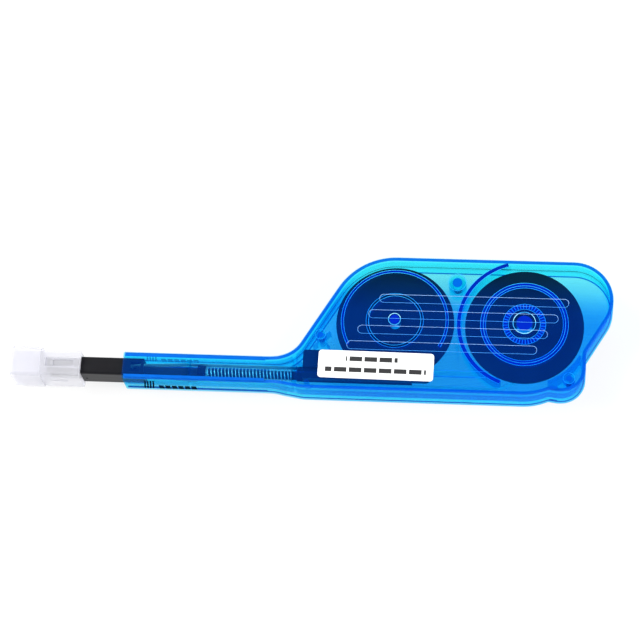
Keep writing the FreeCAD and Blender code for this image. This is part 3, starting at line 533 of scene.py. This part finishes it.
def growPiece(name, tree, inputs, material, body):
    maker = bpy.data.objects.new(name + "_maker", bpy.data.meshes.new(name + "_maker"))
    bpy.context.scene.collection.objects.link(maker)
    modifier = maker.modifiers.new("nodes", "NODES")
    modifier.node_group = tree
    for identifier, value in inputs.items():
        modifier[identifier] = value
    bpy.context.view_layer.update()
    mesh = bpy.data.meshes.new_from_object(maker.evaluated_get(bpy.context.evaluated_depsgraph_get()))
    maker.modifiers.remove(modifier)
    bpy.data.objects.remove(maker)
    mesh.name = name
    if not mesh.materials:
        mesh.materials.append(material)
    piece = bpy.data.objects.new(name, mesh)
    bpy.context.scene.collection.objects.link(piece)
    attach(piece, body)
    print(name, "grown:", len(mesh.polygons), "faces")
    return piece


def sweep(tree, curve, profile, smooth=True):
    swept = addNode(tree, "GeometryNodeCurveToMesh", {}, {"Curve": curve, "Profile Curve": profile, "Fill Caps": True})
    return addNode(tree, "GeometryNodeSetShadeSmooth", {}, {"Geometry": swept, "Shade Smooth": smooth})


def shift(tree, shape, place):
    return addNode(tree, "GeometryNodeTransform", {}, {"Geometry": shape, "Translation": place})


def roundProfile(tree, radius, sides):
    return addNode(tree, "GeometryNodeCurvePrimitiveCircle", {}, {"Resolution": sides, "Radius": radius})


def flatProfile(tree, width, height):
    return addNode(tree, "GeometryNodeCurvePrimitiveQuadrilateral", {}, {"Width": width, "Height": height})


def join(tree, x=0.0, y=0.0, z=0.0):
    return addNode(tree, "ShaderNodeCombineXYZ", {}, {"X": x, "Y": y, "Z": z})


def squashWithNose(piece, low, high):
    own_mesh(piece)


# The return spring: a coil of round wire, closed at both ends
returnSpring = {"Turns": 26.0, "Wire Radius": 0.00019}
coilShape = {"pointsPerTurn": 24, "wireSides": 8, "closedLead": 2.1}  # lead of an end turn, in wire radii


def growSpring():
    low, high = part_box("return_spring")
    middle = (low + high) / 2
    sizes = dict(returnSpring)
    sizes["Length"] = high.x - low.x
    sizes["Coil Radius"] = (high.y - low.y) / 2 - returnSpring["Wire Radius"]
    tree, inputs, given = startTree("springCoil", sizes)
    count = int(returnSpring["Turns"] * coilShape["pointsPerTurn"]) + 1
    line = addNode(tree, "GeometryNodeMeshLine", {}, {"Count": count})
    turned = addNode(tree, "GeometryNodeInputIndex", {}, {}) / float(coilShape["pointsPerTurn"])
    turns, wire, reach = (given.pick(label) for label in ("Turns", "Wire Radius", "Coil Radius"))
    # the first and last turns lie close, and the turns between them share what is left
    closed = turned.atMost(1.0) + (turned - turns + 1.0).atLeast(0.0)
    spare = given.pick("Length") - (2 + 2 * coilShape["closedLead"]) * wire
    along = wire + coilShape["closedLead"] * wire * closed + ramp(turned, 1.0, turns - 1.0) * spare
    angle = turned * (2 * math.pi)
    spot = join(tree, along, reach * angle.cosine(), reach * angle.sine())
    coil = addNode(tree, "GeometryNodeSetPosition", {}, {"Geometry": line, "Position": spot})
    curve = addNode(tree, "GeometryNodeMeshToCurve", {}, {"Mesh": coil})
    shape = sweep(tree, curve, roundProfile(tree, wire, coilShape["wireSides"]))
    closeTree(tree, [shift(tree, shape, (low.x, middle.y, middle.z))], springSteel)
    spring = growPiece("return_spring_coil", tree, inputs, springSteel, "housing")
    squashWithNose(spring, low, high)
    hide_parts("return_spring")


growSpring()


# The wound rolls: one strip of tape on its edge, spiralling out from the hub
tapeRoll = {"Tape Thickness": 0.00022, "Turn Pitch": 0.00034, "Start Radius": 0.0082}
spiralSteps = 40  # points in each turn


def growRoll(name, node, body):
    low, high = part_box(node)
    sizes = dict(tapeRoll)
    sizes["End Radius"] = (high.x - low.x) / 2 - sizes["Tape Thickness"] / 2
    sizes["Turns"] = (sizes["End Radius"] - sizes["Start Radius"]) / sizes.pop("Turn Pitch")
    sizes["Tape Width"] = high.z - low.z
    tree, inputs, given = startTree(name, sizes)
    spiral = addNode(tree, "GeometryNodeCurveSpiral", {}, {
        "Resolution": spiralSteps, "Rotations": given.pick("Turns"), "Start Radius": given.pick("Start Radius"),
        "End Radius": given.pick("End Radius"), "Height": 0.0})
    strip = sweep(tree, spiral, flatProfile(tree, given.pick("Tape Thickness"), given.pick("Tape Width")), False)
    closeTree(tree, [shift(tree, strip, (low + high) / 2)], tapeCloth)
    roll = growPiece(name, tree, inputs, tapeCloth, body)
    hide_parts(node)


growRoll("takeup_spiral", "takeup_tape", "takeup")
growRoll("supply_spiral", "supply_tape", "supply")

# The runs of tape in the neck, copied as strips that ride on the housing
for leg in ("tape_feed_leg", "tape_return_leg"):
    strip = nodes[leg].copy()
    strip.data = nodes[leg].data.copy()
    strip.name = leg + "_strip"
    bpy.context.scene.collection.objects.link(strip)
    strip.parent = None
    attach(strip, "housing")
    squashWithNose(strip, *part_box(leg))
    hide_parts(leg)
print("tape laid")


# Painted highlights: light lines drawn along the rounded edges of the ribs, posts and grip pads, where they catch the
# light
ribLook = {
    "supplyRings": (0.0134, 0.0142, 0.0152),
    "takeupRings": (0.0091, 0.0100),
    "takeupArcs": (0.0178, 0.0187),
    "takeupSpan": (-30, 240),  # where an arc starts, and how far round it goes
    "compartmentWall": (0.0220, 0.0234),
    "compartmentSpan": (106, 144),
    "crownRings": (0.0055, 0.0074),
    "axleSocket": 0.0039,
    "takeupAxle": 0.0021,
    "bosses": (((-0.0238, 0.0148), 0.0031), ((-0.0706, -0.0059), 0.0018), ((0.0159, -0.0192), 0.0020)),
    "rails": {"from": -0.0306, "to": -0.0118, "across": (-0.0178, -0.0199)},
    "plate": 0.0015,
}
lineRadii = {"rib": 0.00009, "axle": 0.00011, "frost": 0.00007}
curveSteps = {"ring": 96, "arc": 80, "line": 6, "boss": 32, "axle": 48}
crownLook = {"Line Radius": 0.00016, "Inner End": 0.0058, "Outer End": 0.0073, "Teeth": 40.0}
gripLook = {"Line Radius": 0.00007, "Length": 0.0657, "Width": 0.0030, "Pitch": 0.00583, "Shift": 0.0035}
gripPads = {"count": 4, "firstEnd": (0.0151, 0.0076), "depth": 0.0003, "cornerPoints": 12, "cornerShare": 2.02}
frostEdges = {"angle": 0.9, "sink": 1.9}  # how sharp an edge is drawn, and its depth in line radii
weldDistance = 0.000001
caseLow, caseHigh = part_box("upper_shell")
supplyAxis = sum(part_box("supply_reel"), Vector()) / 2
takeupAxis = sum(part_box("takeup_reel"), Vector()) / 2
underCover = caseHigh.z - ribLook["plate"]

paintedLightLooks = {
    # painted highlights: light lines that stand for light caught on rounded edges
    "rib_painted_highlight": ((0.30, 0.52, 1.0, 1), (0.48, 0.70, 1.0, 1)),
    "crown_painted_highlight": ((0.04, 0.20, 0.98, 1), (0.10, 0.30, 1.0, 1)),
    "grip_painted_highlight": ((0.40, 0.56, 0.92, 1), (0.52, 0.68, 1.0, 1)),
    "axle_painted_highlight": ((0.20, 0.72, 1.0, 1), (0.40, 0.85, 1.0, 1)),
    # painted shading: grey lines on the cap's sharp edges
    "frost_painted_edge_shading": ((0.52, 0.52, 0.58, 1), (0.66, 0.66, 0.70, 1)),
    # painted deep blue where light gathers along walls, ribs, posts and axles
    "gathered_painted_blue": ((0.0, 0.010, 0.34, 1), (0.0, 0.018, 0.46, 1)),
    "rim_painted_blue": ((0.0, 0.11, 0.50, 1), (0.002, 0.16, 0.60, 1)),
}
paintedLightSurface = {"cloudScale": 400.0, "roughness": 0.25, "cloudRoughness": 0.1, "specular": 0.2}


def makePaintedLight(name, look):
    material, tree = newMaterial(name)
    cloud = noise(tree, objectPlace(tree), paintedLightSurface["cloudScale"])
    finishMaterial(tree, addNode(tree, "ShaderNodeBsdfPrincipled", {}, {
        "Base Color": tint(tree, cloud, *look), "Specular IOR Level": paintedLightSurface["specular"],
        "Roughness": paintedLightSurface["roughness"] + paintedLightSurface["cloudRoughness"] * cloud}))
    return material


paintedLightMaterials = {name: makePaintedLight(name, look) for name, look in paintedLightLooks.items()}


def ringAt(tree, centre, radius, z):
    circle = roundProfile(tree, radius, curveSteps["ring"])
    return shift(tree, circle, (centre.x, centre.y, z))


def arcAt(tree, centre, radius, z, start, span):
    arc = addNode(tree, "GeometryNodeCurveArc", {}, {
        "Resolution": curveSteps["arc"], "Radius": radius,
        "Start Angle": math.radians(start), "Sweep Angle": math.radians(span)})
    return shift(tree, arc, (centre.x, centre.y, z))


def growLines(name, sizes, draw, gloss, body="housing"):
    material = paintedLightMaterials[gloss]
    tree, inputs, given = startTree(name, sizes)
    lines = addNode(tree, "GeometryNodeJoinGeometry", {}, {"Geometry": draw(tree, given)})
    profile = roundProfile(tree, given.pick("Line Radius"), curveSteps["line"])
    closeTree(tree, [sweep(tree, lines, profile)], material)
    growPiece(name, tree, inputs, material, body)


def drawRibs(tree, given):
    z = underCover - lineRadii["rib"]
    curves = [ringAt(tree, supplyAxis, radius, z) for radius in ribLook["supplyRings"] + ribLook["crownRings"]]
    curves += [ringAt(tree, takeupAxis, radius, z) for radius in ribLook["takeupRings"]]
    curves += [arcAt(tree, takeupAxis, radius, z, *ribLook["takeupSpan"]) for radius in ribLook["takeupArcs"]]
    curves += [arcAt(tree, supplyAxis, radius, z, *ribLook["compartmentSpan"]) for radius in ribLook["compartmentWall"]]
    curves += [ringAt(tree, supplyAxis + Vector((*place, 0)), radius, z) for place, radius in ribLook["bosses"]]
    rails = ribLook["rails"]
    for across in rails["across"]:
        ends = [(supplyAxis.x + rails[end], supplyAxis.y + across, z) for end in ("from", "to")]
        curves.append(addNode(tree, "GeometryNodeCurvePrimitiveLine", {}, {"Start": ends[0], "End": ends[1]}))
    return curves


def drawCrown(tree, given):
    z = underCover - 2 * lineRadii["rib"]
    tooth = addNode(tree, "GeometryNodeCurvePrimitiveLine", {}, {
        "Start": join(tree, given.pick("Inner End")), "End": join(tree, given.pick("Outer End"))})
    hub = addNode(tree, "GeometryNodeMeshLine", {}, {
        "Count": given.pick("Teeth"), "Start Location": (supplyAxis.x, supplyAxis.y, z), "Offset": (0, 0, 0)})
    turn = (addNode(tree, "GeometryNodeInputIndex", {}, {}) + 0.5) / given.pick("Teeth") * (2 * math.pi)
    crown = addNode(tree, "GeometryNodeInstanceOnPoints", {}, {
        "Points": hub, "Instance": tooth, "Rotation": join(tree, z=turn)})
    return [addNode(tree, "GeometryNodeRealizeInstances", {}, {"Geometry": crown})]


def drawGrips(tree, given):
    pad = addNode(tree, "GeometryNodeFilletCurve", {"mode": "POLY"}, {
        "Curve": flatProfile(tree, given.pick("Length"), given.pick("Width")),
        "Count": gripPads["cornerPoints"], "Radius": given.pick("Width") / gripPads["cornerShare"]})
    endX, endY = gripPads["firstEnd"]
    start = (supplyAxis.x + endX - gripLook["Length"] / 2, supplyAxis.y + endY,
             caseHigh.z - gripPads["depth"] + gripLook["Line Radius"])
    places = addNode(tree, "GeometryNodeMeshLine", {}, {
        "Count": gripPads["count"], "Start Location": start,
        "Offset": join(tree, -1.0 * given.pick("Shift"), -1.0 * given.pick("Pitch"))})
    pads = addNode(tree, "GeometryNodeInstanceOnPoints", {}, {"Points": places, "Instance": pad})
    return [addNode(tree, "GeometryNodeRealizeInstances", {}, {"Geometry": pads})]


def drawAxles(tree, given):
    z = caseHigh.z - 2 * lineRadii["rib"]
    return [ringAt(tree, supplyAxis, ribLook["axleSocket"], z), ringAt(tree, takeupAxis, ribLook["takeupAxle"], z)]


def weldedShape(tree, node):
    shape = addNode(tree, "GeometryNodeObjectInfo", {}, {"Object": nodes[node]}).pick("Geometry")
    return addNode(tree, "GeometryNodeMergeByDistance", {}, {"Geometry": shape, "Distance": weldDistance})


def scaled(tree, vector, factor):
    return addNode(tree, "ShaderNodeVectorMath", {"operation": "SCALE"}, {0: vector, "Scale": factor})


def edgeCurve(tree, shape, offset, picked):
    moved = addNode(tree, "GeometryNodeSetPosition", {}, {"Geometry": shape, "Offset": offset})
    return addNode(tree, "GeometryNodeMeshToCurve", {}, {"Mesh": moved, "Selection": picked})


def sharpEdges(node):
    def draw(tree, given):
        corner = addNode(tree, "GeometryNodeInputMeshEdgeAngle", {}, {})
        facing = addNode(tree, "GeometryNodeInputNormal", {}, {})
        inward = scaled(tree, facing, -frostEdges["sink"] * given.pick("Line Radius"))
        return [edgeCurve(tree, weldedShape(tree, node), inward, corner > frostEdges["angle"])]
    return draw


# thin tubes painted as highlights along the edges
growLines("rib_edges", {"Line Radius": lineRadii["rib"]}, drawRibs, "rib_painted_highlight")
growLines("crown_edges", crownLook, drawCrown, "crown_painted_highlight")
growLines("grip_edges", gripLook, drawGrips, "grip_painted_highlight")
growLines("axle_rings", {"Line Radius": lineRadii["axle"]}, drawAxles, "axle_painted_highlight")
# grey lines painted as the shading of the cap's and lid's sharp edges
growLines("cap_edges", {"Line Radius": lineRadii["frost"]}, sharpEdges("cap"), "frost_painted_edge_shading", "cap")
growLines("lid_edges", {"Line Radius": lineRadii["frost"]}, sharpEdges("cap_lid"), "frost_painted_edge_shading", "lid")
print("edges drawn")


# Painted light: where a wall or rib is looked at along its height, light gathers in it, so its top shows as a deep blue
# band, painted here as flat ribbons and discs
rimLook = {"Rim Width": 0.0011, "Foot Width": 0.0004, "Rim Inset": 0.0007, "Rim Sink": 0.0002, "Thickness": 0.00008}
rimEdges = {
    "angle": (0.55, 1.0),  # how sharply the bevel breaks
    "lean": (0.15, 0.62),  # how far the edge looks up
    "reach": 0.0050,  # from mid height
    "mouth": 0.001,  # none across the neck's open end
    "bossShare": 0.55,
}
bandRings = ((0.0134, 0.0152), (0.0056, 0.0074))  # inner and outer radius round the supply reel
bandArcs = (("takeupArcs", "takeupSpan", takeupAxis), ("compartmentWall", "compartmentSpan", supplyAxis))
bandDrop = 0.0004
axleCentres = ((0.0027, supplyAxis), (0.0017, takeupAxis))


def ribbon(tree, curve, width, thickness):
    level = addNode(tree, "GeometryNodeSetCurveNormal", {"mode": "Z_UP"}, {"Curve": curve})
    return sweep(tree, level, flatProfile(tree, width, thickness), False)


def disc(tree, radius, thickness, place, sides):
    coin = addNode(tree, "GeometryNodeMeshCylinder", {}, {"Vertices": sides, "Radius": radius, "Depth": thickness})
    return shift(tree, coin, place)


def growBands(name, tree, inputs, bands, gloss):
    closeTree(tree, bands, paintedLightMaterials[gloss])
    growPiece(name, tree, inputs, paintedLightMaterials[gloss], "housing")


def rimCurve(tree, given, shell, side):
    facing = split(tree, addNode(tree, "GeometryNodeInputNormal", {}, {}))
    level = join(tree, facing, facing.pick("Y"))
    outward = addNode(tree, "ShaderNodeVectorMath", {"operation": "NORMALIZE"}, {0: level})
    inset = scaled(tree, outward, -1.0 * given.pick("Rim Inset"))
    sunk = addNode(tree, "ShaderNodeVectorMath", {"operation": "ADD"}, {
        0: inset, 1: join(tree, z=-side * given.pick("Rim Sink"))})
    corner = addNode(tree, "GeometryNodeInputMeshEdgeAngle", {}, {})
    spot = split(tree, addNode(tree, "GeometryNodeInputPosition", {}, {}))
    far = (spot.pick("Z") - caseHigh.z / 2) * side > rimEdges["reach"]
    picked = within(corner, *rimEdges["angle"]) * within(facing.pick("Z") * side, *rimEdges["lean"])
    picked = picked * far * (spot > caseLow.x + rimEdges["mouth"])
    return edgeCurve(tree, weldedShape(tree, shell), sunk, picked)


def growRims():
    tree, inputs, given = startTree("rimBands", rimLook)
    bands = [ribbon(tree, rimCurve(tree, given, shell, side), given.pick(width), given.pick("Thickness"))
             for shell, width, side in (("upper_shell", "Rim Width", 1.0), ("lower_shell", "Foot Width", -1.0))]
    for place, radius in ribLook["bosses"]:
        spot = supplyAxis + Vector((*place, underCover - supplyAxis.z - bandDrop))
        bands.append(disc(tree, rimEdges["bossShare"] * radius, given.pick("Thickness"), spot, curveSteps["boss"]))
    growBands("rim_bands", tree, inputs, bands, "rim_painted_blue")


def growRibBands():
    tree, inputs, given = startTree("ribBands", {"Thickness": rimLook["Thickness"]})
    thickness = given.pick("Thickness")
    z = underCover - bandDrop
    bands = []
    for inner, outer in bandRings:
        middle = ringAt(tree, supplyAxis, (inner + outer) / 2, z)
        bands.append(ribbon(tree, middle, outer - inner, thickness))
    for wall, span, axis in bandArcs:
        inner, outer = ribLook[wall]
        middle = arcAt(tree, axis, (inner + outer) / 2, z, *ribLook[span])
        bands.append(ribbon(tree, middle, outer - inner, thickness))
    for radius, axis in axleCentres:
        bands.append(disc(tree, radius, thickness, (axis.x, axis.y, caseHigh.z - bandDrop), curveSteps["axle"]))
    growBands("rib_bands", tree, inputs, bands, "gathered_painted_blue")


growRims()
growRibBands()
print("bands laid")


# The floor and the light
studio = {
    "floorGlow": 0.78,
    "floorSize": 6.0,
    "floorColour": (0.93, 0.93, 0.93, 1),
    "worldStrength": 0.95,
    "sky": ((0.0, 1.0), (0.35, 0.95), (0.7, 0.12), (1.0, 0.10)),  # bright at the horizon and dim overhead
}
lamps = {
    "key": {"place": (-0.75, 0.25, 0.62), "size": (0.8, 0.6), "power": 15.0},
    "fill": {"place": (0.7, -0.35, 0.6), "size": (0.8, 0.6), "power": 10.0},
}


def makeFloor():
    mesh = bpy.data.meshes.new("floor")
    half = studio["floorSize"] / 2
    mesh.from_pydata([(-half, -half, 0), (half, -half, 0), (half, half, 0), (-half, half, 0)], [], [(0, 1, 2, 3)])
    floor = bpy.data.objects.new("floor", mesh)
    bpy.context.scene.collection.objects.link(floor)
    material, tree = newMaterial("pale_floor")
    path = addNode(tree, "ShaderNodeLightPath", {}, {})
    seen = (path + path.pick("Is Glossy Ray") + path.pick("Is Transmission Ray")).atMost(1.0)
    white = addNode(tree, "ShaderNodeEmission", {}, {"Color": (1, 1, 1, 1), "Strength": 1.0})
    paper = addNode(tree, "ShaderNodeBsdfDiffuse", {}, {"Color": studio["floorColour"]})
    finishMaterial(tree, blend(tree, studio["floorGlow"] * seen, paper, white))
    mesh.materials.append(material)


def addLamp(name, target, look):
    lamp = bpy.data.lights.new(name, "AREA")
    lamp.energy = look["power"]
    lamp.shape = "RECTANGLE"
    lamp.size, lamp.size_y = look["size"]
    holder = bpy.data.objects.new(name, lamp)
    bpy.context.scene.collection.objects.link(holder)
    holder.location = target + Vector(look["place"])
    holder.rotation_euler = (target - holder.location).to_track_quat("-Z", "Y").to_euler()


def makeWorld():
    world = bpy.data.worlds.new("studio")
    bpy.context.scene.world = world
    world.use_nodes = True
    tree = world.node_tree
    tree.nodes.clear()
    height = split(tree, addNode(tree, "ShaderNodeTexCoord", {}, {}).pick("Generated")).pick("Z")
    stops = [(place, (grey, grey, grey, 1)) for place, grey in studio["sky"]]
    sky = addNode(tree, "ShaderNodeValToRGB", {"stops": stops}, {0: height})
    seen = addNode(tree, "ShaderNodeLightPath", {}, {})
    strength = studio["worldStrength"] + (1.0 - studio["worldStrength"]) * seen
    light = addNode(tree, "ShaderNodeBackground", {}, {
        "Color": tint(tree, seen, sky, (1, 1, 1, 1)), "Strength": strength})
    addNode(tree, "ShaderNodeOutputWorld", {}, {"Surface": light})


makeFloor()
makeWorld()
for name, look in lamps.items():
    addLamp(name, (cadBox[0] + cadBox[1]) / 2, look)


# The camera looks down on the pen from the label's side
cameraView = {
    "place": (0.01511, -0.29567, 0.83391),
    "elevation": math.radians(69.484),
    "yaw": math.radians(16.289),
    "roll": math.radians(-13.611),
    "lens": 141.39,
    "sensor": 36.0,
    "clip": (0.01, 20.0),
}


def makeCamera():
    elevation, yaw, roll = (cameraView[key] for key in ("elevation", "yaw", "roll"))
    back = Vector((math.sin(yaw) * math.cos(elevation), -math.cos(yaw) * math.cos(elevation), math.sin(elevation)))
    level = Vector((math.cos(yaw), math.sin(yaw), 0))
    upward = back.cross(level)
    right = math.cos(roll) * level + math.sin(roll) * upward
    top = -math.sin(roll) * level + math.cos(roll) * upward
    camera = bpy.data.cameras.new("camera")
    camera.lens = cameraView["lens"]
    camera.sensor_width = cameraView["sensor"]
    camera.clip_start, camera.clip_end = cameraView["clip"]
    holder = bpy.data.objects.new("camera", camera)
    bpy.context.scene.collection.objects.link(holder)
    holder.matrix_world = Matrix.Translation(cameraView["place"]) @ Matrix((right, top, back)).transposed().to_4x4()
    bpy.context.scene.camera = holder


makeCamera()
bpy.context.scene.view_settings.view_transform = "Standard"
print("camera and lights set")
